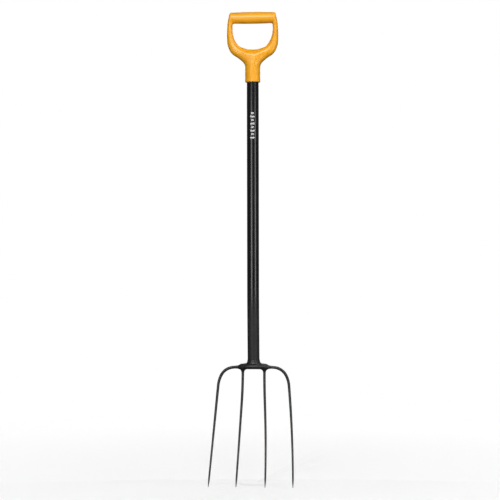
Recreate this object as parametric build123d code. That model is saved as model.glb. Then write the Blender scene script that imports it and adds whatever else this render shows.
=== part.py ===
from build123d import *
import os
from math import asin, cos, radians, sin

# Four-tine compost fork with a D-handle, standing upright on its tine tips.
# +Z is up the shaft, +X is across the head, and +Y is the back: the tines curve
# forward, towards -Y. Lengths are in millimetres and angles in degrees.
# The model is laid out with the upper shaft's axis at x = y = 0. At the end every
# sub-part moves back by one distance, which puts the middle of the whole fork's
# depth at y = 0.

# ---- driving dimensions -----------------------------------------------------------
total_height = 1210.0

# shaft: a round steel tube, its coating included
tube_radius = 15.3
tube_bore_radius = 13.9
tube_top_z = 1082.0
bend_start_z = 500.0
bend_arc_length = 75.0
bend_angle = 4.0

# D-handle: one moulding
grip_middle_radius = 15.1
grip_end_radius = 13.8
grip_half_length = 60.0
grip_end_round = 5.0
socket_radius = 19.4
socket_bottom_z = 1029.0
socket_top_z = 1066.0
socket_lip = 1.2

# the limb from the grip round to the foot of the D: its middle line (x, z), the way
# it runs there, half its width and half its depth
limb_stations = (
    (53.4, 1202.0, 77.0, 5.3, 10.5),
    (56.8, 1189.0, 81.0, 6.3, 12.0),
    (58.6, 1169.0, 89.0, 7.0, 12.4),
    (57.9, 1148.0, 98.0, 8.4, 12.6),
    (53.0, 1127.6, 116.0, 11.8, 12.8),
    (40.6, 1109.9, 143.0, 13.8, 13.2),
    (20.5, 1102.2, 166.0, 13.3, 13.8),
    (0.0, 1099.4, 180.0, 13.4, 14.0),
)
# the web from the round socket up into the D: height, half its width, half its depth
neck_stations = (
    (1066.0, 19.4, 19.4),
    (1072.0, 19.9, 19.3),
    (1077.5, 22.2, 19.1),
    (1082.5, 26.6, 18.9),
    (1087.5, 32.4, 18.4),
    (1093.0, 38.6, 17.4),
    (1100.0, 43.0, 14.2),
)

# screw that holds the handle on the tube, from the back
screw_z = 1051.0
screw_shank_radius = 2.4
screw_head_radius = 4.6
screw_head_height = 2.0
screw_head_round = 0.65
screw_shank_length = 12.0
screw_slot_width = 1.2
screw_slot_length = 5.4
screw_slot_depth = 1.2

# yoke: the forged bar at the foot of the shaft
yoke_top_z = 306.6
yoke_end_x = 42.0
# its sections: distance from the middle, top and bottom below the seat, half its depth
yoke_stations = (
    (0.0, 0.0, 15.8, 18.0),
    (7.0, 0.0, 15.8, 17.7),
    (14.0, 0.0, 15.9, 16.5),
    (21.0, 0.2, 16.1, 14.0),
    (28.0, 1.3, 16.2, 10.6),
    (35.0, 3.8, 15.8, 7.2),
    (yoke_end_x, 6.1, 14.9, 4.5),
)
seat_radius = 18.4
seat_foot_radius = 13.0
seat_depth = 9.0
spigot_length = 14.0
spigot_chamfer = 3.0
rod_drop = 11.2

# tines: round rods, bent, then drawn down to a point
dish_lean = -3.0
dish_radius = 600.0
point_length = 22.0
nose_length = 11.0
nose_radius = 1.75
tip_radius = 0.7
section_spacing = 11.0
outer_start_x = 36.0
shoulder_start_x = 52.8
shoulder_droop = 4.0
shoulder_radii = (38.0, 70.0)
shoulder_angles = (62.7, 85.0)
outer_tip_angle = 88.3
outer_rod_radius = 3.8
outer_tine_radius = 3.45
outer_end_radius = 2.3
inner_x = 27.95
inner_start_drop = -2.0
inner_straight = 14.0
inner_splay = 2.8
inner_splay_length = 80.0
inner_tip_splay = 0.8
inner_root_radius = 3.4
inner_tine_radius = 3.2
inner_end_radius = 2.4

# welds
shaft_bead = ((15.5, 9.0), (16.0, 4.0), (18.2, 0.0))
# fillet at an inner tine's root: distance down the dish, its extent across, half its depth
root_fillet_stations = (
    (1.0, 13.35, 37.35, 8.5),
    (5.0, 15.85, 34.95, 7.0),
    (7.0, 19.35, 33.15, 5.4),
    (9.5, 22.05, 31.95, 4.3),
    (14.0, 24.5, 31.4, 3.45),
)
rod_bead_radius = 4.4
rod_bead_toe_radius = 3.9
rod_bead_length = 5.0


# ---- frames that several sub-parts share ------------------------------------------
bend = radians(bend_angle)
bend_radius = bend_arc_length / bend
bend_end_y = bend_radius * (1 - cos(bend))
bend_end_z = bend_start_z - bend_radius * sin(bend)
foot_length = (bend_end_z - yoke_top_z) / cos(bend)
foot_y = bend_end_y + foot_length * sin(bend)

# The head's frame: its origin is the middle of the seat that the tube stands on, and
# its z runs up the leaning lower end of the tube.
head = Plane(origin=(0, foot_y, yoke_top_z), x_dir=(1, 0, 0), z_dir=(0, -sin(bend), cos(bend)))

# All four tines lie on one dished surface, which begins at the outer rods' level. It
# leans forward there by dish_lean, and further forward all the way down to the tips.
tilt = radians(dish_lean)
dish_y = foot_y + rod_drop * sin(bend)
dish_z = yoke_top_z - rod_drop * cos(bend)
dish_turn = tilt - asin(sin(tilt) - (dish_z - tip_radius) / dish_radius)
dish_length = dish_radius * dish_turn


def on_dish(across, down):
    """The point of the dish at a distance across it and a distance down along it."""
    lean = tilt - down / dish_radius
    y = dish_y + dish_radius * (cos(lean) - cos(tilt))
    z = dish_z + dish_radius * (sin(lean) - sin(tilt))
    return Vector(across, y, z)


def along_dish(down, angle):
    """The direction of a line that lies in the dish, at an angle below the rods."""
    lean = tilt - down / dish_radius
    return Vector(cos(angle), sin(lean) * sin(angle), -cos(lean) * sin(angle))


def mirrored(shape):
    return mirror(shape, about=Plane.YZ)


def oval(centre, direction, half_width, half_depth):
    """An oval section square to a direction, its depth running front to back."""
    return Plane(origin=centre, x_dir=(0, 1, 0), z_dir=direction) * Ellipse(half_depth, half_width)


# ---- tines --------------------------------------------------------------------------
def arc_end(point, angle, length, turn):
    """Where an arc laid out flat in the dish ends, and its angle there."""
    x, down = point
    if turn == 0:
        return (x + length * cos(angle), down + length * sin(angle)), angle
    radius = length / turn
    after = angle + turn
    return (x + radius * (sin(after) - sin(angle)), down + radius * (cos(angle) - cos(after))), after


def station(start, bends, distance):
    """The rod's middle, angle and radius at a distance along bends of (length, turn, end radius)."""
    point, angle, radius = start
    for length, turn, end_radius in bends:
        share = min(distance / length, 1.0)
        point, angle = arc_end(point, angle, length * share, turn * share)
        radius += (end_radius - radius) * share
        distance = max(distance - length, 0.0)
    return point, angle, radius


def blade_bends(start, end_angle, end_radius):
    """The long tapering run down to the tip, then its drawn point."""
    point, angle, _ = start
    turn = end_angle - angle
    length = (dish_length - point[1]) * turn / (cos(angle) - cos(end_angle))
    runs = (
        (length - point_length, end_radius),
        (point_length - nose_length, nose_radius),
        (nose_length, tip_radius),
    )
    return [(run, turn * run / length, radius) for run, radius in runs]


def rod(start, bends, end_angle, end_radius):
    """A rod along the bends and on down to the tip, through evenly spaced round sections."""
    length = sum(bend_length for bend_length, *_ in bends)
    bends = bends + blade_bends(station(start, bends, length), end_angle, end_radius)
    length = sum(bend_length for bend_length, *_ in bends)
    count = round(length / section_spacing)
    sections = []
    for number in range(count + 1):
        (across, down), angle, radius = station(start, bends, length * number / count)
        sections.append(oval(on_dish(across, down), along_dish(down, angle), radius, radius))
    return loft(sections) + Pos(*on_dish(across, down)) * Sphere(tip_radius)


def tine_outer():
    droop = radians(shoulder_droop)
    reach = (shoulder_start_x - outer_start_x) / cos(droop)
    start = ((outer_start_x, -reach * sin(droop)), droop, outer_rod_radius)
    bends = [(reach, 0.0, outer_rod_radius)]
    angle = droop
    for radius, end, size in zip(shoulder_radii, shoulder_angles, (outer_rod_radius, outer_tine_radius)):
        turn = radians(end) - angle
        bends.append((radius * turn, turn, size))
        angle += turn
    return rod(start, bends, radians(outer_tip_angle), outer_end_radius)


def tine_inner():
    down = radians(90)
    start = ((inner_x, inner_start_drop), down, inner_root_radius)
    straight = (inner_straight, 0.0, inner_root_radius)
    turned_out = (inner_splay_length, -radians(inner_splay), inner_tine_radius)
    return rod(start, [straight, turned_out], down - radians(inner_tip_splay), inner_end_radius)


# ---- yoke ---------------------------------------------------------------------------
def yoke_bar():
    def section(x, top, bottom, half_depth):
        return oval((x, 0, -(top + bottom) / 2), (1, 0, 0), (bottom - top) / 2, half_depth)

    left = [section(-x, *rest) for x, *rest in reversed(yoke_stations[1:])]
    right = [section(x, *rest) for x, *rest in yoke_stations]
    return loft(left + right)


def head_yoke(bar, tines):
    seat = Pos(0, 0, -seat_depth / 2) * Cone(seat_foot_radius, seat_radius, seat_depth)
    spigot = Pos(0, 0, spigot_length / 2) * Cylinder(tube_bore_radius, spigot_length)
    spigot = chamfer(spigot.edges().group_by(Axis.Z)[-1], spigot_chamfer)
    blank = bar + head * (seat + spigot)
    for rod_end in tines:
        blank -= rod_end
    return blank


# ---- welds --------------------------------------------------------------------------
def weld_shaft():
    top, middle, foot = shaft_bead
    inner_top = (tube_radius, top[1])
    inner_foot = (tube_radius, 0)
    outline = Polyline(foot, inner_foot, inner_top, top)
    outline += ThreePointArc(top, middle, foot)
    bead = revolve(Plane.XZ * make_face(outline), axis=Axis.Z)
    return head * bead


def weld_inner(bar, tine):
    """A hollow-faced fillet all round the root of an inner tine."""
    sections = []
    for down, from_x, to_x, half_depth in root_fillet_stations:
        centre = on_dish((from_x + to_x) / 2, down)
        sections.append(oval(centre, along_dish(0, radians(90)), (to_x - from_x) / 2, half_depth))
    return loft(sections) - bar - tine


def weld_outer(tine):
    """A short tapering bead round an outer rod, against the yoke's end."""
    droop = radians(shoulder_droop)
    sections = []
    for x, radius in ((yoke_end_x, rod_bead_radius), (yoke_end_x + rod_bead_length, rod_bead_toe_radius)):
        centre = on_dish(x, (x - shoulder_start_x) * sin(droop))
        sections.append(oval(centre, (1, 0, 0), radius, radius))
    return loft(sections) - tine


# ---- shaft --------------------------------------------------------------------------
def shaft_tube(screw):
    top = (0, 0, tube_top_z)
    line = Line(top, (0, 0, bend_start_z))
    curve = RadiusArc(line @ 1, (0, bend_end_y, bend_end_z), bend_radius)
    foot = Line(curve @ 1, (0, foot_y, yoke_top_z))
    ring = Circle(tube_radius) - Circle(tube_bore_radius)
    across = Plane(origin=top, x_dir=(1, 0, 0), z_dir=(0, 0, -1))
    return sweep(across * ring, path=Wire([line, curve, foot])) - screw


# ---- D-handle -----------------------------------------------------------------------
def grip():
    z = total_height - grip_middle_radius
    end = grip_half_length
    profile = Polyline((0, 0), (-end, 0), (-end, grip_end_radius))
    profile += ThreePointArc((-end, grip_end_radius), (0, grip_middle_radius), (end, grip_end_radius))
    profile += Polyline((end, grip_end_radius), (end, 0), (0, 0))
    bar = revolve(make_face(profile), axis=Axis.X)
    bar = fillet(bar.edges().filter_by(GeomType.CIRCLE), grip_end_round)
    return Pos(0, 0, z) * bar


def limb():
    sections = []
    for x, z, angle, half_width, half_depth in limb_stations:
        run = radians(angle)
        sections.append(oval((x, 0, z), (cos(run), 0, -sin(run)), half_width, half_depth))
    return loft(sections)


def d_handle(screw):
    body = grip() + limb() + mirrored(limb())
    body += loft([oval((0, 0, z), (0, 0, 1), *halves) for z, *halves in neck_stations])
    height = socket_top_z - socket_bottom_z
    socket = Pos(0, 0, socket_bottom_z + height / 2) * Cylinder(socket_radius, height)
    socket = fillet(socket.edges().group_by(Axis.Z)[0], socket_lip)
    depth = tube_top_z - socket_bottom_z
    bore = Pos(0, 0, socket_bottom_z + depth / 2) * Cylinder(tube_radius, depth)
    return body + socket - bore - screw


# ---- screw --------------------------------------------------------------------------
def handle_screw():
    """The screw, and the space it fills: drawn along +Z, then turned to go in from the back."""
    shank = Pos(0, 0, -screw_shank_length / 2) * Cylinder(screw_shank_radius, screw_shank_length)
    cap = Pos(0, 0, screw_head_height / 2) * Cylinder(screw_head_radius, screw_head_height)
    cap = fillet(cap.edges().group_by(Axis.Z)[-1], screw_head_round)
    slot = Pos(0, 0, screw_head_height) * Box(screw_slot_length, screw_slot_width, 2 * screw_slot_depth)
    cross = slot + Rot(0, 0, 90) * slot
    seat_y = socket_radius - screw_head_height
    seat = Plane(origin=(0, seat_y, screw_z), x_dir=(1, 0, 0), z_dir=(0, 1, 0))
    return seat * (shank + cap - cross), seat * (shank + cap)


# ---- assembly -----------------------------------------------------------------------
def build():
    screw, screw_space = handle_screw()
    outer = tine_outer()
    inner = tine_inner()
    right = (outer, inner)
    left = (mirrored(outer), mirrored(inner))
    bar = head * yoke_bar()
    yoke = head_yoke(bar, right + left)
    nodes = {
        "d_handle": d_handle(screw_space),
        "handle_screw": screw,
        "shaft_tube": shaft_tube(screw_space),
        "head_yoke": yoke,
        "weld_shaft": weld_shaft(),
    }
    for side, (outer_tine, inner_tine) in (("right", right), ("left", left)):
        nodes["tine_outer_" + side] = outer_tine
        nodes["tine_inner_" + side] = inner_tine
    inner_weld = weld_inner(bar, inner)
    outer_weld = weld_outer(outer)
    for side, place in (("right", lambda shape: shape), ("left", mirrored)):
        nodes["weld_inner_" + side] = place(inner_weld)
        nodes["weld_outer_" + side] = place(outer_weld)
    return nodes


def main():
    nodes = build()
    box = Compound(children=[Part() + shape for shape in nodes.values()]).bounding_box()
    to_middle = Pos(0, -(box.min.Y + box.max.Y) / 2, 0)
    os.makedirs("parts", exist_ok=True)
    for name, shape in nodes.items():
        export_step(to_middle * shape, f"parts/{name}.step")


main()
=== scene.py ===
import math

import bpy
import numpy as np
from mathutils import Matrix, Vector


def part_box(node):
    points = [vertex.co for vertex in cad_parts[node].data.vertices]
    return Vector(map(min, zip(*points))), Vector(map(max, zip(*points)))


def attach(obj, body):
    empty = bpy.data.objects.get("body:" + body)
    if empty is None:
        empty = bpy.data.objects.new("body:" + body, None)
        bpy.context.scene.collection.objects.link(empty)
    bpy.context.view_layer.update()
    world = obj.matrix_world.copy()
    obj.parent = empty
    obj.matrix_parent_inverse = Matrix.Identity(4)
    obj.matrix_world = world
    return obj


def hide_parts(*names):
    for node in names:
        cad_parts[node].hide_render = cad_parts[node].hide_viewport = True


# A four-tine compost fork. Every visible piece is a mesh made here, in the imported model's frame:
# +Z up the shaft, +Y to the back. Shapes are worked out in millimetres, and mesh_piece makes
# metres of them. The materials, camera, lights and stage are in metres.
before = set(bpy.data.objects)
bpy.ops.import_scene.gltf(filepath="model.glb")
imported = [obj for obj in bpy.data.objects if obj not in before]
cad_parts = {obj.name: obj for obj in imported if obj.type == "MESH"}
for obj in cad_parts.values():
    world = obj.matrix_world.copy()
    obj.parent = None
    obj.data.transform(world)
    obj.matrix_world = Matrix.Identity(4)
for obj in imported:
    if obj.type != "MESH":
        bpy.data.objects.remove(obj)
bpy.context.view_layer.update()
MM = 0.001

# ---- places, from the frame --------------------------------------------------------
handle_low, handle_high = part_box("d_handle")
shaft_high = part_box("shaft_tube")[1]
screw_low, screw_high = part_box("handle_screw")
AXIS_Y = (handle_low.y + handle_high.y) / 2 / MM
TOP_Z = handle_high.z / MM
SOCKET_Z = handle_low.z / MM
TUBE_TOP_Z = shaft_high.z / MM
TUBE_RADIUS = shaft_high.x / MM
SOCKET_RADIUS = (handle_high.y - handle_low.y) / 2 / MM
SCREW_Z = (screw_low.z + screw_high.z) / 2 / MM


# ---- numbers along smooth curves ----------------------------------------------------
def smoothed(stations, steps=16):
    """A smooth run of values through given stations (Catmull-Rom), in small steps."""
    points = np.array(stations, float)
    ends = [2 * points[0] - points[1], *points, 2 * points[-1] - points[-2]]
    run = []
    for a, b, c, d in zip(ends, ends[1:], ends[2:], ends[3:]):
        for t in np.arange(steps) / steps:
            run.append(b + 0.5 * t * (c - a + t * (2 * a - 5 * b + 4 * c - d + t * (3 * (b - c) + d - a))))
    return np.array([*run, points[-1]])


def soft_min(a, b, reach):
    """The union of two fields, with a fillet that reaches that far along both surfaces."""
    share = np.maximum(reach - np.abs(a - b), 0) / reach
    return np.minimum(a, b) - share**3 * reach / 6


def soft_max(a, b, reach):
    return -soft_min(-a, -b, reach)


def oval_field(across, deep, half_across, half_deep):
    """About the distance to an ellipse."""
    across = np.abs(across) + 1e-6
    level = np.hypot(across / half_across, deep / half_deep)
    slope = np.hypot(across / half_across**2, deep / half_deep**2)
    return (level - 1) * level / slope


def rounded(radial, axial, rounding):
    """A rounded edge where a barrel's side meets its end, from the fields of both."""
    side, end = radial + rounding, axial + rounding
    return np.minimum(np.maximum(side, end), 0) + np.hypot(np.maximum(side, 0), np.maximum(end, 0)) - rounding


# ---- meshes -------------------------------------------------------------------------
def mesh_piece(name, points_mm, faces, material, slot, *nodes):
    """A smooth-shaded piece in the frame, which stands for some CAD nodes."""
    mesh = bpy.data.meshes.new(name)
    mesh.from_pydata((np.asarray(points_mm) * MM).tolist(), [], faces)
    mesh.validate()
    mesh.shade_smooth()
    mesh.materials.append(material)
    piece = bpy.data.objects.new(name, mesh)
    bpy.context.scene.collection.objects.link(piece)
    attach(piece, "root")
    if nodes:
        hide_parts(*nodes)
    return piece


def field_surface(field, low, high, step):
    """The closed surface where field(x, y, z) is 0, as points and quads (surface nets)."""
    axes = [np.arange(a, b + step, step) for a, b in zip(low, high)]
    value = np.broadcast_to(field(*np.meshgrid(*axes, indexing="ij", sparse=True)), [len(a) for a in axes])
    cells = [n - 1 for n in value.shape]
    total = np.zeros((*cells, 3))
    count = np.zeros(cells)
    crossings = []
    for axis in range(3):
        near = value.take(range(cells[axis]), axis)
        far = value.take(range(1, cells[axis] + 1), axis)
        crossed = (near < 0) != (far < 0)
        crossings.append((crossed, near < 0))
        share = np.where(crossed, near / np.where(crossed, near - far, 1), 0)
        places = np.meshgrid(*[a[:n] for a, n in zip(axes, near.shape)], indexing="ij", sparse=True)
        places[axis] = places[axis] + share * step
        others = [a for a in range(3) if a != axis]
        for one in (0, 1):
            for two in (0, 1):
                part = [slice(0, cells[axis])] * 3
                part[others[0]] = slice(one, one + cells[others[0]])
                part[others[1]] = slice(two, two + cells[others[1]])
                used = crossed[tuple(part)]
                count += used
                for a in range(3):
                    place = np.broadcast_to(places[a], near.shape)[tuple(part)]
                    total[..., a] += np.where(used, place, 0)
    held = count > 0
    index = np.full(cells, -1)
    index[held] = np.arange(held.sum())
    points = total[held] / count[held][:, None]
    faces = []
    for axis, (crossed, inside) in enumerate(crossings):
        spot = np.argwhere(crossed)
        one, two = [np.eye(3, dtype=int)[a] for a in range(3) if a != axis]
        corners = [index[tuple((spot - a).T)] for a in (one + two, two, 0 * one, one)]
        quads = np.stack(corners, 1)
        flip = inside[crossed] == (axis == 1)
        quads[flip] = quads[flip][:, ::-1]
        faces.append(quads)
    for _ in range(3):
        points = nearer(field, points, step)
    return points, np.concatenate(faces).tolist()


def nearer(field, points, step, small=0.02, least_slope=0.05):
    """Points moved onto the surface along the field's slope."""
    here = field(*points.T)
    slopes = [field(*(points + d).T) - field(*(points - d).T) for d in np.eye(3) * small]
    slope = np.stack(slopes, 1) / (2 * small)
    move = -slope * (here / np.maximum((slope**2).sum(1), least_slope))[:, None]
    length = np.linalg.norm(move, axis=1)[:, None]
    return points + move * np.minimum(1, 0.5 * step / np.maximum(length, 1e-9))


def skin(rings, closed=False):
    """Quads between rings of points, with the ends fanned shut, or joined end to end."""
    rings = np.asarray(rings)
    count, around = rings.shape[:2]
    faces = []
    for number in range(count if closed else count - 1):
        one, two = number * around, (number + 1) % count * around
        for place in range(around):
            after = (place + 1) % around
            faces.append((one + place, one + after, two + after, two + place))
    points = rings.reshape(-1, 3)
    if not closed:
        points = np.vstack([points, rings[0].mean(0), rings[-1].mean(0)])
        for place in range(around):
            after = (place + 1) % around
            faces.append((len(points) - 2, after, place))
            faces.append((len(points) - 1, (count - 1) * around + place, (count - 1) * around + after))
    return points, faces


def circle(around):
    turn = np.arange(around) / around * 2 * math.pi
    return np.cos(turn), np.sin(turn)


def facing_out(rings, side):
    """The rings of a rod's right-hand or left-hand twin, in the order that faces its skin outwards."""
    return rings if side > 0 else [ring[::-1] for ring in rings]


# ---- D-handle -----------------------------------------------------------------------
GRIP_HALF_MM = 60.0
GRIP_RADIUS_MM = 15.1
GRIP_END_RADIUS_MM = 13.8
GRIP_ROUND_MM = 4.6
SOCKET_LONG_MM = 36
SOCKET_TOP_Z = SOCKET_Z + SOCKET_LONG_MM
SOCKET_ROUND_MM = 1.3
HANDLE_STEP_MM = 0.9
LIMB_TOP_MM = 11
LIMB_FILLET_MM = 7
NECK_FILLET_MM = 12
BORE_GAP_MM = 0.1
BORE_EDGE_MM = 0.8
SCREW_RECESS_MM = 5.1
SCREW_SEAT_MM = 16.8
RECESS_EDGE_MM = 1.2
# the limb's middle line (x, height below the top), half its width and half its depth
LIMB = smoothed((
    (54.8, -13.0, 5.7, 11.2),
    (57.6, -25.0, 6.5, 12.0),
    (58.6, -42.0, 7.0, 12.4),
    (57.9, -62.0, 8.4, 12.6),
    (52.7, -83.0, 11.9, 12.8),
    (41.2, -99.7, 13.8, 13.3),
    (17.5, -108.2, 13.4, 13.9),
    (0.0, -110.3, 13.6, 14.1),
))
# the web between the socket and the D: height, half its width, half its depth
NECK = smoothed((
    (-153.0, SOCKET_RADIUS, SOCKET_RADIUS),
    (-148.0, SOCKET_RADIUS, SOCKET_RADIUS),
    (-142.0, SOCKET_RADIUS, SOCKET_RADIUS),
    (-137.0, 20.3, SOCKET_RADIUS),
    (-132.0, 22.8, 19.3),
    (-127.0, 27.0, 19.0),
    (-122.0, 32.1, 18.8),
    (-117.0, 36.0, 18.3),
    (-110.0, 38.4, 17.6),
))
# the front of the web ends in a rounded step, an arc below the opening
SMILE_RADIUS_MM = 92.0
SMILE_Z = -16.0
SMILE_ROUND_MM = 9.0


def limb_field(x, y, z):
    """A moulded limb of oval section along its middle line, on both sides of x = 0."""
    x = np.abs(x)
    best = np.full(np.broadcast_shapes(x.shape, z.shape), np.inf)
    width, depth = best.copy(), best.copy()
    for start, end in zip(LIMB, LIMB[1:]):
        run_x, run_z = end[:2] - start[:2]
        share = ((x - start[0]) * run_x + (z - start[1]) * run_z) / (run_x**2 + run_z**2)
        share = np.clip(share, 0, 1)
        away = np.hypot(x - start[0] - share * run_x, z - start[1] - share * run_z)
        nearer_here = away < best
        best = np.where(nearer_here, away, best)
        width = np.where(nearer_here, start[2] + share * (end[2] - start[2]), width)
        depth = np.where(nearer_here, start[3] + share * (end[3] - start[3]), depth)
    return oval_field(best, y, width, depth)


def grip_field(x, y, z):
    z = z + GRIP_RADIUS_MM
    radius = GRIP_RADIUS_MM - (GRIP_RADIUS_MM - GRIP_END_RADIUS_MM) * (x / GRIP_HALF_MM) ** 2
    return rounded(np.hypot(y, z) - radius, np.abs(x) - GRIP_HALF_MM, GRIP_ROUND_MM)


def handle_field(x, y, z):
    """The D-handle, in millimetres from the shaft's axis and from the top of the grip."""
    neck_width = np.interp(z, NECK[:, 0], NECK[:, 1])
    neck_depth = np.interp(z, NECK[:, 0], NECK[:, 2])
    neck = np.maximum(oval_field(x, y, neck_width, neck_depth), NECK[0, 0] - z)
    neck = soft_max(neck, SMILE_RADIUS_MM - np.hypot(x, z - SMILE_Z), SMILE_ROUND_MM)
    limb = np.maximum(limb_field(x, y, z), z + LIMB_TOP_MM)
    body = soft_min(grip_field(x, y, z), limb, LIMB_FILLET_MM)
    body = soft_min(body, neck, NECK_FILLET_MM)
    round_x = np.hypot(x, y)
    middle = (SOCKET_Z + SOCKET_TOP_Z) / 2 - TOP_Z
    half = (SOCKET_TOP_Z - SOCKET_Z) / 2
    socket = rounded(round_x - SOCKET_RADIUS, np.abs(z - middle) - half, SOCKET_ROUND_MM)
    body = np.minimum(body, socket)
    bore = np.maximum(round_x - TUBE_RADIUS - BORE_GAP_MM, z - (TUBE_TOP_Z - TOP_Z))
    screw_reach = np.hypot(x, z - (SCREW_Z - TOP_Z))
    recess = np.maximum(screw_reach - SCREW_RECESS_MM, SCREW_SEAT_MM - y)
    return soft_max(soft_max(body, -bore, BORE_EDGE_MM), -recess, RECESS_EDGE_MM)


def d_handle():
    margin = 2 * HANDLE_STEP_MM
    low = ((handle_low.x / MM) - margin, -SOCKET_RADIUS - margin, SOCKET_Z - TOP_Z - margin)
    high = ((handle_high.x / MM) + margin, SOCKET_RADIUS + margin, margin)
    points, faces = field_surface(handle_field, low, high, HANDLE_STEP_MM)
    points += (0, AXIS_Y, TOP_Z)
    return mesh_piece("d_handle_moulding", points, faces, handle_plastic(), "handle_plastic", "d_handle")


# ---- screw --------------------------------------------------------------------------
SCREW_HEAD_MM = 4.6
SCREW_PROUD_MM = 1.7
SCREW_DOME_MM = 0.45
SCREW_EDGE_MM = 0.9
SCREW_SHANK_MM = 2.4
SCREW_SHANK_LONG_MM = 4
SCREW_STEP_MM = 0.16
SCREW_LOW_MM = (-5.2, -4.6, -5.2)
SCREW_HIGH_MM = (5.2, 2.4, 5.2)
# the cross recess: half a slot's length, half its width, and its depth
SCREW_SLOT_MM = (2.7, 0.62, 1.1)
SCREW_SLOT_EDGE_MM = 0.3


def screw_field(x, y, z):
    """A pan head with a cross recess, on a short shank, in millimetres from its seat."""
    reach = np.hypot(x, z)
    dome = SCREW_PROUD_MM - SCREW_DOME_MM * (reach / SCREW_HEAD_MM) ** 2
    head = soft_max(soft_max(reach - SCREW_HEAD_MM, y - dome, SCREW_EDGE_MM), -y - 0.1, 0.2)
    shank = np.maximum(reach - SCREW_SHANK_MM, np.maximum(y - 0.2, -y - SCREW_SHANK_LONG_MM))
    half_length, half_width, depth = SCREW_SLOT_MM
    floor = SCREW_PROUD_MM - depth
    slots = [np.maximum(np.abs(a) - half_length, np.abs(b) - half_width) for a, b in ((x, z), (z, x))]
    cross = np.maximum(np.minimum(*slots), floor - y)
    return soft_max(np.minimum(head, shank), -cross, SCREW_SLOT_EDGE_MM)


def handle_screw():
    points, faces = field_surface(screw_field, SCREW_LOW_MM, SCREW_HIGH_MM, SCREW_STEP_MM)
    points += (0, AXIS_Y + SCREW_SEAT_MM, SCREW_Z)
    return mesh_piece("handle_screw_head", points, faces, screw_steel(), "screw_steel", "handle_screw")


# ---- shaft --------------------------------------------------------------------------
BEND_START_MM = 500.0
BEND_ARC_MM = 75.0
BEND = math.radians(4.0)
BORE_MM = 13.9
YOKE_TOP_MM = 306.6
BEND_RADIUS_MM = BEND_ARC_MM / BEND
BEND_END_Y = BEND_RADIUS_MM * (1 - math.cos(BEND))
BEND_END_Z = BEND_START_MM - BEND_RADIUS_MM * math.sin(BEND)
FOOT_LENGTH = (BEND_END_Z - YOKE_TOP_MM) / math.cos(BEND)
FOOT = Vector((0, AXIS_Y + BEND_END_Y + FOOT_LENGTH * math.sin(BEND), YOKE_TOP_MM))


def shaft_stations():
    """(height, distance behind the upper shaft's axis, lean) down the tube's middle line."""
    for z in np.linspace(TUBE_TOP_Z, BEND_START_MM, 60):
        yield z, 0, 0
    for lean in np.linspace(0, BEND, 16)[1:]:
        yield BEND_START_MM - BEND_RADIUS_MM * math.sin(lean), BEND_RADIUS_MM * (1 - math.cos(lean)), lean
    for run in np.linspace(0, FOOT_LENGTH, 14)[1:]:
        yield BEND_END_Z - run * math.cos(BEND), BEND_END_Y + run * math.sin(BEND), BEND


def shaft_ring(station, radius, around=112):
    z, back, lean = station
    across, forward = circle(around)
    y = AXIS_Y + back + radius * forward * math.cos(lean)
    return np.stack([radius * across, y, z + radius * forward * math.sin(lean)], 1)


def shaft_tube():
    stations = list(shaft_stations())
    outside = [shaft_ring(s, TUBE_RADIUS) for s in stations]
    inside = [shaft_ring(s, BORE_MM) for s in reversed(stations)]
    points, faces = skin(outside + inside, closed=True)
    return mesh_piece("shaft", points, faces, shaft_coating(), "shaft_coating", "shaft_tube")


# ---- printed bars -------------------------------------------------------------------
MARK_LOW_MM = 881.0
MARK_HIGH_MM = 953.0
MARK_BARS = 8
MARK_WIDE_MM = 11.6
MARK_NARROW_MM = 7.4
MARK_PROUD_MM = 0.06
MARK_SUNK_MM = -0.3
# how much of its pitch a bar leaves empty below it, and how much it covers
MARK_EMPTY = 0.22
MARK_COVERED = 0.56


def mark_bar(number):
    """One printed bar: a thin curved patch that wraps a little of the tube's front."""
    pitch = (MARK_HIGH_MM - MARK_LOW_MM) / MARK_BARS
    low = MARK_LOW_MM + number * pitch + MARK_EMPTY * pitch
    high = low + MARK_COVERED * pitch
    half = (MARK_WIDE_MM if number % 2 == 0 else MARK_NARROW_MM) / 2
    turns = np.linspace(-1, 1, 13) * math.asin(half / TUBE_RADIUS)
    rings = []
    for z, off in ((low, MARK_SUNK_MM), (low, MARK_PROUD_MM), (high, MARK_PROUD_MM), (high, MARK_SUNK_MM)):
        reach = TUBE_RADIUS + off
        rings.append([(reach * math.sin(t), AXIS_Y - reach * math.cos(t), z) for t in turns])
    return np.array(rings)


def printed_bars():
    points, faces = [], []
    for number in range(MARK_BARS):
        rings = mark_bar(number)
        count, across = rings.shape[:2]
        base = number * count * across
        points.append(rings.reshape(-1, 3))
        for one in range(count):
            two = (one + 1) % count
            for place in range(across - 1):
                a, b = base + one * across + place, base + two * across + place
                faces.append((a, a + 1, b + 1, b))
        corners = [base + one * across for one in range(count)]
        faces.append(corners)
        faces.append([c + across - 1 for c in reversed(corners)])
    return mesh_piece("shaft_printed_bars", np.vstack(points), faces, print_ink(), "shaft_coating")


# ---- the dished surface that all four tines lie on -------------------------------------
ROD_DROP_MM = 11.2
DISH_MM = 600.0
TILT = math.radians(-3.0)
TIP_MM = 0.7
DISH_Y = FOOT.y + ROD_DROP_MM * math.sin(BEND)
DISH_Z = FOOT.z - ROD_DROP_MM * math.cos(BEND)
DISH_LENGTH = DISH_MM * (TILT - math.asin(math.sin(TILT) - (DISH_Z - TIP_MM) / DISH_MM))


def on_dish(across, down, off=0.0):
    """The point at a distance across and down the dish, and a distance off it."""
    lean = TILT - down / DISH_MM
    reach = DISH_MM + off
    y = DISH_Y + reach * np.cos(lean) - DISH_MM * math.cos(TILT)
    z = DISH_Z + reach * np.sin(lean) - DISH_MM * math.sin(TILT)
    return np.stack(np.broadcast_arrays(across, y, z), -1)


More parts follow.
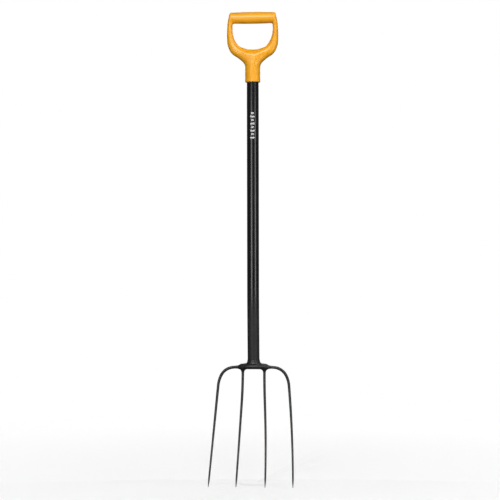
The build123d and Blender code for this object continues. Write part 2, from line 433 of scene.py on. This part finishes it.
def dish_place(y, z):
    """How far down the dish a point is, and how far off it."""
    back, up = y - DISH_Y + DISH_MM * math.cos(TILT), z - DISH_Z + DISH_MM * math.sin(TILT)
    return DISH_MM * (TILT - np.arctan2(up, back)), np.hypot(back, up) - DISH_MM


# ---- tines --------------------------------------------------------------------------
POINT_MM = 22.0
NOSE_MM = 11.0
NOSE_RADIUS_MM = 1.75
INNER_X_MM = 27.95
INNER_START_MM = -2.0
INNER_STRAIGHT_MM = 14.0
INNER_ROOT_MM = 3.4
INNER_SPLAY_MM = 80.0
INNER_SPLAY = math.radians(2.8)
INNER_TINE_MM = 3.2
INNER_TIP_ANGLE = math.radians(89.2)
INNER_END_MM = 2.4
DROOP = math.radians(4.0)
OUTER_START_X_MM = 36.0
SHOULDER_X_MM = 52.8
OUTER_ROD_MM = 3.8
OUTER_TINE_MM = 3.45
OUTER_TIP_ANGLE = math.radians(88.3)
OUTER_END_MM = 2.3
# the shoulder is two arcs: the tine's angle at the end of the first, and the turn of the second
SHOULDER_RADII_MM = (38, 70)
SHOULDER_ANGLE = math.radians(62.7)
SHOULDER_TURN = math.radians(22.3)
TINE_STEP_MM = 1.5
TINE_AROUND = 28
ROD_UNEVEN = 0.012
TIP_RISES = np.radians((30, 58, 80))


def tine_line(start, bends, end_angle, end_radius):
    """The middle line of a tine, flat in the dish: (across, down, angle, radius) in small steps.

    The bends are (length, turn, end radius); the long run down to the point comes after them.
    """
    x, down, angle, radius = start
    line = [start]
    for length, turn, size in bends:
        x, down, angle, radius = run_on(line, (x, down, angle, radius), length, turn, size)
    turn = end_angle - angle
    length = (DISH_LENGTH - down) * turn / (math.cos(angle) - math.cos(end_angle))
    place = (x, down, angle, radius)
    parts = ((length - POINT_MM, end_radius), (POINT_MM - NOSE_MM, NOSE_RADIUS_MM), (NOSE_MM, TIP_MM))
    for part, size in parts:
        place = run_on(line, place, part, turn * part / length, size)
    return np.array(line)


def run_on(line, place, length, turn, size):
    """Adds small steps of an arc to the line, and returns the place that it reaches."""
    x, down, angle, radius = place
    steps = max(2, round(length / TINE_STEP_MM))
    for number in range(1, steps + 1):
        share = number / steps
        middle = angle + turn * (number - 0.5) / steps
        x += length / steps * math.cos(middle)
        down += length / steps * math.sin(middle)
        line.append((x, down, angle + turn * share, radius + (size - radius) * share))
    return line[-1]


def inner_line():
    start = (INNER_X_MM, INNER_START_MM, math.radians(90), INNER_ROOT_MM)
    bends = ((INNER_STRAIGHT_MM, 0.0, INNER_ROOT_MM), (INNER_SPLAY_MM, -INNER_SPLAY, INNER_TINE_MM))
    return tine_line(start, bends, INNER_TIP_ANGLE, INNER_END_MM)


def outer_line():
    reach = (SHOULDER_X_MM - OUTER_START_X_MM) / math.cos(DROOP)
    start = (OUTER_START_X_MM, -reach * math.sin(DROOP), DROOP, OUTER_ROD_MM)
    bends = [(reach, 0.0, OUTER_ROD_MM)]
    turns = (SHOULDER_ANGLE - DROOP, SHOULDER_TURN)
    for radius, turn, size in zip(SHOULDER_RADII_MM, turns, (OUTER_ROD_MM, OUTER_TINE_MM)):
        bends.append((radius * turn, turn, size))
    return tine_line(start, bends, OUTER_TIP_ANGLE, OUTER_END_MM)


def rod_rings(line, side, around=TINE_AROUND):
    """Round sections square to the line, faintly uneven as a drawn and forged rod is."""
    across_ring, off_ring = circle(around)
    rings = []
    for number, (x, down, angle, radius) in enumerate(line):
        uneven = 1 + ROD_UNEVEN * math.sin(number * 0.31 + 1.7 * side) * math.sin(number * 0.113 + 0.4)
        size = radius * uneven
        across = x + size * across_ring * -math.sin(angle)
        along = down + size * across_ring * math.cos(angle)
        rings.append(on_dish(across * side, along, size * off_ring))
    return rings


def tine(name, line, side):
    rings = rod_rings(line, side)
    x, down, angle, _ = line[-1]
    for rise in TIP_RISES:
        ahead, size = TIP_MM * math.sin(rise), TIP_MM * math.cos(rise)
        end = (x + ahead * math.cos(angle), down + ahead * math.sin(angle), angle, size)
        rings += rod_rings([end], side)
    points, faces = skin(facing_out(rings, side))
    return mesh_piece(name + "_rod", points, faces, head_coating(), "head_coating", name)


def tines():
    for side, word in ((1, "right"), (-1, "left")):
        tine("tine_outer_" + word, outer_line(), side)
        tine("tine_inner_" + word, inner_line(), side)


# ---- yoke ---------------------------------------------------------------------------
YOKE_STEP_MM = 0.6
YOKE_LOW_MM = (-52.0, -21.0, -20.0)
YOKE_HIGH_MM = (52.0, 21.0, 16.0)
BAR_END_MM = 50
# the seat under the tube: its radius at the top and at the foot, and its depth
SEAT_MM = (18.4, 13.0, 9.0)
SEAT_FILLET_MM = 6
# the stub inside the tube: its radius and height
SPIGOT_MM = (13.8, 13.0)
# the bar's sections: distance from the middle, top and bottom below the seat, half its depth
BAR = smoothed((
    (0.0, 0.0, 15.8, 18.0),
    (7.0, 0.0, 15.8, 17.7),
    (14.0, 0.0, 15.9, 16.5),
    (21.0, 0.2, 16.1, 14.0),
    (28.0, 1.3, 16.2, 10.6),
    (35.0, 3.8, 15.8, 7.2),
    (42.0, 6.3, 14.8, 4.3),
    (50.0, 7.6, 14.2, 3.3),
))


def bar_field(x, y, z):
    """The forged bar, in the head's frame: z runs up the lower shaft from the yoke's seat."""
    reach = np.abs(x)
    top, bottom, depth = [np.interp(reach, BAR[:, 0], BAR[:, n]) for n in (1, 2, 3)]
    return np.maximum(oval_field(z + (top + bottom) / 2, y, (bottom - top) / 2, depth), reach - BAR_END_MM)


FORGING_MM = 0.14
FORGING_WAVES = (
    (0.31, 0.22, 0.27, 0.5),
    (-0.24, 0.36, 0.19, 2.1),
    (0.17, -0.29, 0.41, 4.0),
    (0.52, 0.47, -0.33, 1.2),
)


def forging(x, y, z):
    """Low, rounded unevenness of a hammered face, in millimetres."""
    waves = [np.sin(a * x + b * y + c * z + d) for a, b, c, d in FORGING_WAVES]
    return FORGING_MM * sum(waves) / len(waves)


def yoke_field(x, y, z):
    round_x = np.hypot(x, y)
    top, foot, deep = SEAT_MM
    slant = (top - foot) / deep
    seat = np.maximum((round_x - top - slant * z) / math.hypot(1, slant), np.abs(z + deep / 2) - deep / 2)
    radius, rise = SPIGOT_MM
    spigot = np.maximum(round_x - radius, np.abs(z - rise / 2) - rise / 2)
    body = soft_min(bar_field(x, y, z), seat, SEAT_FILLET_MM) + forging(x, y, z)
    body = np.maximum(body, z)
    return np.minimum(body, spigot)


def to_head(x, y, z):
    """A point of the frame, in the head's leaning frame."""
    y, z = y - FOOT.y, z - FOOT.z
    return x, y * math.cos(BEND) + z * math.sin(BEND), z * math.cos(BEND) - y * math.sin(BEND)


def from_head(points):
    x, y, z = points.T
    lean_y, lean_z = y * math.cos(BEND) - z * math.sin(BEND), z * math.cos(BEND) + y * math.sin(BEND)
    return np.stack([x, lean_y + FOOT.y, lean_z + FOOT.z], 1)


def head_yoke():
    points, faces = field_surface(yoke_field, YOKE_LOW_MM, YOKE_HIGH_MM, YOKE_STEP_MM)
    points = from_head(points)
    return mesh_piece("head_yoke_forging", points, faces, head_coating(), "head_coating", "head_yoke")


# ---- welds --------------------------------------------------------------------------
WELD_STEP_MM = 0.4
# the inner fillets lie inside a ball, whose middle is a little way down the tine
FILLET_REACH_MM = 15.0
FILLET_BALL_MM = 15.0
FILLET_DOWN_MM = 5.0
FILLET_SINK_MM = 0.12
FILLET_EDGE_MM = 1
# the outer beads: where they start, their length, their radius and how much it falls
ROD_BEAD_X_MM = 41.2
ROD_BEAD_LONG_MM = 6.2
ROD_BEAD_RADIUS_MM = 4.32
ROD_BEAD_FALL_MM = 0.58
ROD_BEAD_RIPPLE_MM = 0.1
ROD_BEAD_STEPS = 18
ROD_BEAD_AROUND = 40
BEAD_AROUND = 240
BEAD_RIPPLED_TO_MM = 9.2
# the ring bead's section: distance from the tube's axis, and height above the seat
BEAD_PROFILE_MM = (
    (15.0, 9.4),
    (15.6, 9.0),
    (15.95, 7.6),
    (16.15, 5.8),
    (16.4, 4.0),
    (17.0, 2.3),
    (18.0, 0.9),
    (18.2, 0.1),
    (17.6, -0.6),
    (15.0, -0.6),
)


def root_fillet_field(side):
    """The metal that fills the corner between an inner tine and the yoke."""
    def field(x, y, z):
        down, off = dish_place(y, z)
        rod = np.hypot(x - side * INNER_X_MM, off) - INNER_ROOT_MM
        bar = bar_field(*to_head(x, y, z)) + forging(*to_head(x, y, z))
        metal = soft_min(bar + FILLET_SINK_MM, rod + FILLET_SINK_MM, FILLET_REACH_MM)
        ball = np.sqrt((x - side * INNER_X_MM) ** 2 + off**2 + (down - FILLET_DOWN_MM) ** 2) - FILLET_BALL_MM
        return soft_max(metal, ball, FILLET_EDGE_MM)
    return field


def weld_inner(side, word):
    middle = on_dish(side * INNER_X_MM, FILLET_DOWN_MM)
    reach = FILLET_BALL_MM + 1
    points, faces = field_surface(root_fillet_field(side), middle - reach, middle + reach, WELD_STEP_MM)
    name = "weld_inner_" + word
    return mesh_piece(name + "_fillet", points, faces, head_coating(), "head_coating", name)


def weld_outer(side, word):
    """A short run of weld round an outer rod, where it leaves the yoke."""
    line = []
    for number in range(ROD_BEAD_STEPS + 1):
        share = number / ROD_BEAD_STEPS
        x = ROD_BEAD_X_MM + ROD_BEAD_LONG_MM * share
        down = (x - SHOULDER_X_MM) * math.sin(DROOP)
        ripple = ROD_BEAD_RIPPLE_MM * math.sin(share * 6 * math.pi) * math.sin(share * math.pi)
        line.append((x, down, DROOP, ROD_BEAD_RADIUS_MM - ROD_BEAD_FALL_MM * share**1.5 + ripple))
    rings = rod_rings(line, side, ROD_BEAD_AROUND)
    points, faces = skin(facing_out(rings, side))
    name = "weld_outer_" + word
    return mesh_piece(name + "_bead", points, faces, head_coating(), "head_coating", name)


def weld_shaft():
    """The ring of weld round the foot of the tube, rippled as it was laid."""
    cosine, sine = circle(BEAD_AROUND)
    turn = np.arange(BEAD_AROUND) / BEAD_AROUND * 2 * math.pi
    rings = []
    for radius, height in BEAD_PROFILE_MM:
        shown = 0 < height < BEAD_RIPPLED_TO_MM
        ripple = shown * (0.05 * np.sin(turn * 38 + height * 0.5) + 0.10 * np.sin(turn * 5 + 1))
        rings.append(np.stack([(radius + ripple) * cosine, (radius + ripple) * sine, height + 0 * turn], 1))
    points, faces = skin(rings, closed=True)
    points = from_head(points)
    return mesh_piece("weld_shaft_bead", points, faces, head_coating(), "head_coating", "weld_shaft")


def welds():
    weld_shaft()
    for side, word in ((1, "right"), (-1, "left")):
        weld_inner(side, word)
        weld_outer(side, word)


# ---- materials ----------------------------------------------------------------------
class Paint:
    """A Principled material whose nodes are added one line at a time."""

    def __init__(self, name, **constants):
        self.material = bpy.data.materials.new(name)
        self.material.use_nodes = True
        self.tree = self.material.node_tree
        self.shader = self.tree.nodes["Principled BSDF"]
        for socket, value in constants.items():
            self.shader.inputs[socket.replace("_", " ")].default_value = value
        self.place = self.add("TexCoord").outputs["Object"]

    def add(self, kind, inputs=None, **settings):
        node = self.tree.nodes.new("ShaderNode" + kind)
        for name, value in settings.items():
            setattr(node, name, value)
        for name, value in (inputs or {}).items():
            self.put(node.inputs[name], value)
        return node

    def put(self, socket, value):
        if isinstance(value, bpy.types.NodeSocket):
            self.tree.links.new(value, socket)
        else:
            socket.default_value = value

    def noise(self, scale, detail=2.0, stretch=(1, 1, 1), offset=(0, 0, 0)):
        """Noise about 0.5, with a scale in patches per metre."""
        place = self.place
        if stretch != (1, 1, 1) or offset != (0, 0, 0):
            place = self.add("Mapping", {"Vector": place, "Scale": stretch, "Location": offset}).outputs[0]
        return self.add("TexNoise", {"Vector": place, "Scale": scale, "Detail": detail}).outputs[0]

    def remap(self, value, low, high, to_low=0.0, to_high=1.0):
        inputs = {"Value": value, "From Min": low, "From Max": high, "To Min": to_low, "To Max": to_high}
        return self.add("MapRange", inputs, interpolation_type="SMOOTHSTEP").outputs[0]

    def math(self, operation, a, b=0.0):
        return self.add("Math", {0: a, 1: b}, operation=operation).outputs[0]

    def mix(self, share, a, b):
        node = self.add("Mix", data_type="RGBA")
        self.put(node.inputs[0], share)
        self.put(node.inputs[6], a)
        self.put(node.inputs[7], b)
        return node.outputs[2]

    def axis(self, name):
        return self.add("SeparateXYZ", {0: self.place}).outputs[name]

    def edges(self, low, high):
        """0 on flat and hollow stretches, 1 on the sharpest edges."""
        return self.remap(self.add("NewGeometry").outputs["Pointiness"], low, high)

    def bump(self, *layers):
        """Bump from (height, depth in metres) layers, one on the other."""
        normal = None
        for height, depth in layers:
            node = self.add("Bump", {"Height": height, "Distance": depth, "Strength": 1.0})
            if normal is not None:
                self.put(node.inputs["Normal"], normal)
            normal = node.outputs[0]
        self.put(self.shader.inputs["Normal"], normal)

    def finish(self, colour, roughness):
        self.put(self.shader.inputs["Base Color"], colour)
        self.put(self.shader.inputs["Roughness"], roughness)
        return self.material


def shade(red, green, blue):
    return (red, green, blue, 1.0)


def shared(maker):
    """Makes a material once, and gives the same one each time that it is asked for."""
    made = []

    def material():
        if not made:
            made.append(maker())
        return made[0]

    return material


def handle_plastic():
    """Moulded plastic: warm yellow, satin, with a fine spark-eroded grain, a mould line, and a painted
    highlight on the sharpest edges.
    """
    paint = Paint("handle_plastic", Specular_IOR_Level=0.5)
    flow = paint.noise(22, 3.0)
    colour = paint.mix(paint.remap(flow, 0.3, 0.7), shade(0.850, 0.365, 0.010), shade(0.890, 0.395, 0.014))
    speckle = paint.remap(paint.noise(900, 1.0), 0.62, 0.75, 0.0, 0.12)
    colour = paint.mix(speckle, colour, shade(0.80, 0.33, 0.009))
    # painted highlight: the sharpest convex edges are made a lighter yellow, as if catching the light
    colour = paint.mix(paint.math("MULTIPLY", paint.edges(0.52, 0.6), 0.3), colour, shade(0.93, 0.47, 0.04))
    handled = paint.noise(60, 4.0)
    roughness = paint.remap(handled, 0.3, 0.7, 0.29, 0.35)
    scratch = paint.remap(paint.noise(240, 2.0, (0.06, 1, 1)), 0.66, 0.72)
    roughness = paint.math("ADD", roughness, paint.math("MULTIPLY", scratch, 0.08))
    away = paint.math("ABSOLUTE", paint.math("SUBTRACT", paint.axis("Y"), AXIS_Y * MM))
    line = paint.remap(away, 0.00012, 0.0003, 1.0, 0.0)
    paint.bump((paint.noise(1500, 2.0), 0.000008), (line, 0.00006), (scratch, -0.000005))
    return paint.finish(colour, roughness)


# heights between which the shaft's gloss gives way to satin
GLOSS_END_M = (0.39, 0.52)


def shaft_coating():
    """Black coating, glossy down to the bend and satin below it, with light handling marks."""
    paint = Paint("shaft_coating", Specular_IOR_Level=0.5)
    height = paint.axis("Z")
    lower = paint.remap(height, *GLOSS_END_M, 1.0, 0.0)
    cloud = paint.remap(paint.noise(14, 4.0), 0.3, 0.7)
    black = paint.mix(cloud, shade(0.0045, 0.0045, 0.005), shade(0.0075, 0.0075, 0.008))
    grey = paint.mix(cloud, shade(0.014, 0.014, 0.0143), shade(0.019, 0.019, 0.0193))
    colour = paint.mix(lower, black, grey)
    rub = paint.remap(paint.noise(170, 3.0, (1, 1, 0.12)), 0.68, 0.78)
    colour = paint.mix(paint.math("MULTIPLY", rub, 0.25), colour, shade(0.06, 0.06, 0.06))
    gloss = paint.remap(paint.noise(45, 4.0), 0.3, 0.7, 0.17, 0.22)
    satin = paint.remap(paint.noise(60, 4.0), 0.3, 0.7, 0.50, 0.62)
    blended = paint.add("Mix", {"Factor": lower, "A": gloss, "B": satin}).outputs["Result"]
    roughness = paint.math("ADD", blended, paint.math("MULTIPLY", rub, 0.1))
    paint.bump((paint.noise(260, 2.0), 0.000015), (paint.noise(1100, 2.0), 0.000006))
    return paint.finish(colour, roughness)


@shared
def head_coating():
    """Matt dark grey powder coat over forged steel, a little rubbed on edges and points."""
    paint = Paint("head_coating", Specular_IOR_Level=0.5)
    cloud = paint.remap(paint.noise(40, 5.0), 0.3, 0.7)
    colour = paint.mix(cloud, shade(0.012, 0.012, 0.0123), shade(0.019, 0.019, 0.019))
    tip = paint.remap(paint.axis("Z"), 0.004, 0.03, 1.0, 0.0)
    patchy = paint.remap(paint.noise(350, 4.0), 0.45, 0.62)
    worn = paint.math("MULTIPLY", tip, paint.math("MULTIPLY", patchy, 0.5))
    colour = paint.mix(worn, colour, shade(0.10, 0.097, 0.092))
    edge = paint.math("MULTIPLY", paint.edges(0.53, 0.62), paint.math("MULTIPLY", patchy, 0.6))
    colour = paint.mix(edge, colour, shade(0.09, 0.088, 0.085))
    roughness = paint.remap(paint.noise(120, 4.0), 0.3, 0.7, 0.36, 0.5)
    paint.bump((paint.noise(160, 3.0), 0.00007), (paint.noise(1400, 2.0), 0.000008))
    return paint.finish(colour, roughness)


def screw_steel():
    """Zinc-plated steel, turned in fine rings, with painted shade darkening the recess."""
    paint = Paint("screw_steel", Metallic=1.0)
    cloud = paint.remap(paint.noise(500, 3.0), 0.3, 0.7)
    colour = paint.mix(cloud, shade(0.50, 0.49, 0.46), shade(0.60, 0.59, 0.57))
    # painted shade: hollow places, the cross recess, are made dark grey
    colour = paint.mix(paint.edges(0.46, 0.40), colour, shade(0.18, 0.17, 0.16))
    rings = paint.noise(2500, 2.0, (1, 0.2, 1))
    paint.bump((rings, 0.00001), (paint.noise(700, 2.0), 0.00001))
    return paint.finish(colour, paint.remap(rings, 0.3, 0.7, 0.26, 0.42))


def print_ink():
    """Pale grey printing ink, a little thin in places."""
    paint = Paint("shaft_print_ink")
    thin = paint.remap(paint.noise(800, 3.0), 0.52, 0.72)
    colour = paint.mix(paint.math("MULTIPLY", thin, 0.5), shade(0.56, 0.56, 0.56), shade(0.26, 0.26, 0.26))
    paint.bump((paint.noise(1600, 2.0), 0.00001))
    return paint.finish(colour, paint.remap(paint.noise(300, 3.0), 0.3, 0.7, 0.42, 0.56))


# ---- stage, lights and camera ---------------------------------------------------------
CAMERA_TURN = math.radians(5.3)
CAMERA_ROLL = math.radians(-0.1)
CAMERA_AWAY = 4.0
CAMERA_HEIGHT = 0.598
CAMERA_LEFT = 0.0078
VIEW_WIDTH = 1.2855
STAGE_RADIUS = 30.0
WORLD_STRENGTH = 0.09
# the floor's own shine, at the first of these distances from the middle and at the second
FLOOR_RAMP_M = (0.2, 1.6)
FLOOR_SHINE = (0.1, 0.53)
# name, turn to the right of the camera in degrees, distance, height, height aimed at, size, watts
SOFTBOXES = (
    ("strip_left", -27, 2.0, 0.68, 0.68, (0.8, 1.0), 11),
    ("strip_right", 47, 2.0, 0.68, 0.68, (0.8, 1.0), 9.5),
    ("key_above", -5, 2.4, 2.25, 0.9, (1.8, 0.6), 51),
    ("fill_right", 58, 2.2, 2.2, 0.9, (0.9, 0.9), 13),
    ("fill_back", 174, 2.8, 2.0, 0.8, (2.2, 1.4), 32),
)


def around_shaft(turn, away, height):
    """A place round the upper shaft; turn 0 is straight in front, and grows to +X."""
    return Vector((away * math.sin(turn), AXIS_Y * MM - away * math.cos(turn), height))


def camera():
    data = bpy.data.cameras.new("camera")
    data.sensor_width = 36.0
    data.lens = data.sensor_width * CAMERA_AWAY / VIEW_WIDTH
    camera_object = bpy.data.objects.new("camera", data)
    bpy.context.scene.collection.objects.link(camera_object)
    to_right = Vector((math.cos(CAMERA_TURN), math.sin(CAMERA_TURN), 0))
    camera_object.location = around_shaft(CAMERA_TURN, CAMERA_AWAY, CAMERA_HEIGHT) - to_right * CAMERA_LEFT
    level = Matrix.Rotation(CAMERA_TURN, 4, "Z") @ Matrix.Rotation(math.radians(90), 4, "X")
    camera_object.rotation_euler = (level @ Matrix.Rotation(CAMERA_ROLL, 4, "Z")).to_euler()
    bpy.context.scene.camera = camera_object


def softbox(name, turn, away, height, target_height, size, power):
    """A soft light aimed at the shaft. The camera does not see it."""
    data = bpy.data.lights.new(name, "AREA")
    data.shape = "RECTANGLE"
    data.size, data.size_y = size
    data.energy = power
    light = bpy.data.objects.new(name, data)
    light.location = around_shaft(CAMERA_TURN + math.radians(turn), away, height)
    aim = Vector((0, AXIS_Y * MM, target_height)) - light.location
    light.rotation_euler = aim.to_track_quat("-Z", "Y").to_euler()
    light.visible_camera = False
    bpy.context.scene.collection.objects.link(light)


def floor_white():
    """Matt white that also shines by itself, more so further out where less light falls, to stay even."""
    pale, white = shade(0.86, 0.86, 0.86), shade(1, 1, 1)
    paint = Paint("floor_white", Base_Color=pale, Roughness=0.9, Emission_Color=white)
    reach = paint.add("VectorMath", {0: paint.place}, operation="LENGTH").outputs["Value"]
    paint.put(paint.shader.inputs["Emission Strength"], paint.remap(reach, *FLOOR_RAMP_M, *FLOOR_SHINE))
    return paint.material


def dome_white():
    """A background that is exactly white, whatever light falls on it."""
    paint = Paint("dome_white", Base_Color=shade(0, 0, 0), Specular_IOR_Level=0.0)
    paint.put(paint.shader.inputs["Emission Color"], shade(1, 1, 1))
    paint.put(paint.shader.inputs["Emission Strength"], 1.0)
    return paint.material


def stage_ring(radius, height):
    cosine, sine = circle(96)
    return np.stack([cosine * radius, sine * radius, 0 * sine + height], 1)


def stage_piece(name, rings, material):
    """A part of the surroundings. It lights nothing, and the object shows no reflection of it."""
    mesh = bpy.data.meshes.new(name)
    points, faces = skin(rings)
    mesh.from_pydata(points.tolist(), [], faces)
    mesh.materials.append(material)
    piece = bpy.data.objects.new(name, mesh)
    bpy.context.scene.collection.objects.link(piece)
    piece.visible_glossy = False
    piece.visible_diffuse = False
    piece.visible_shadow = False


def stage():
    """A pale round floor, in a white dome that only makes the background."""
    floor_radius = FLOOR_RAMP_M[1]
    floor = [stage_ring(floor_radius * share, 0) for share in (0.02, 1)]
    stage_piece("floor", floor, floor_white())
    rises = np.radians(np.linspace(0, 89, 20))
    dome = [stage_ring(STAGE_RADIUS * math.cos(rise), STAGE_RADIUS * math.sin(rise)) for rise in rises]
    dome = [stage_ring(floor_radius, 0)] + dome
    stage_piece("dome", dome, dome_white())


def lights():
    for box in SOFTBOXES:
        softbox(*box)
    world = bpy.data.worlds.new("world")
    world.use_nodes = True
    background = world.node_tree.nodes["Background"]
    background.inputs["Color"].default_value = shade(1, 1, 1)
    background.inputs["Strength"].default_value = WORLD_STRENGTH
    bpy.context.scene.world = world
    bpy.context.scene.view_settings.view_transform = "Standard"


# ---- assembly -----------------------------------------------------------------------
camera()
stage()
lights()
d_handle()
handle_screw()
shaft_tube()
printed_bars()
head_yoke()
tines()
welds()
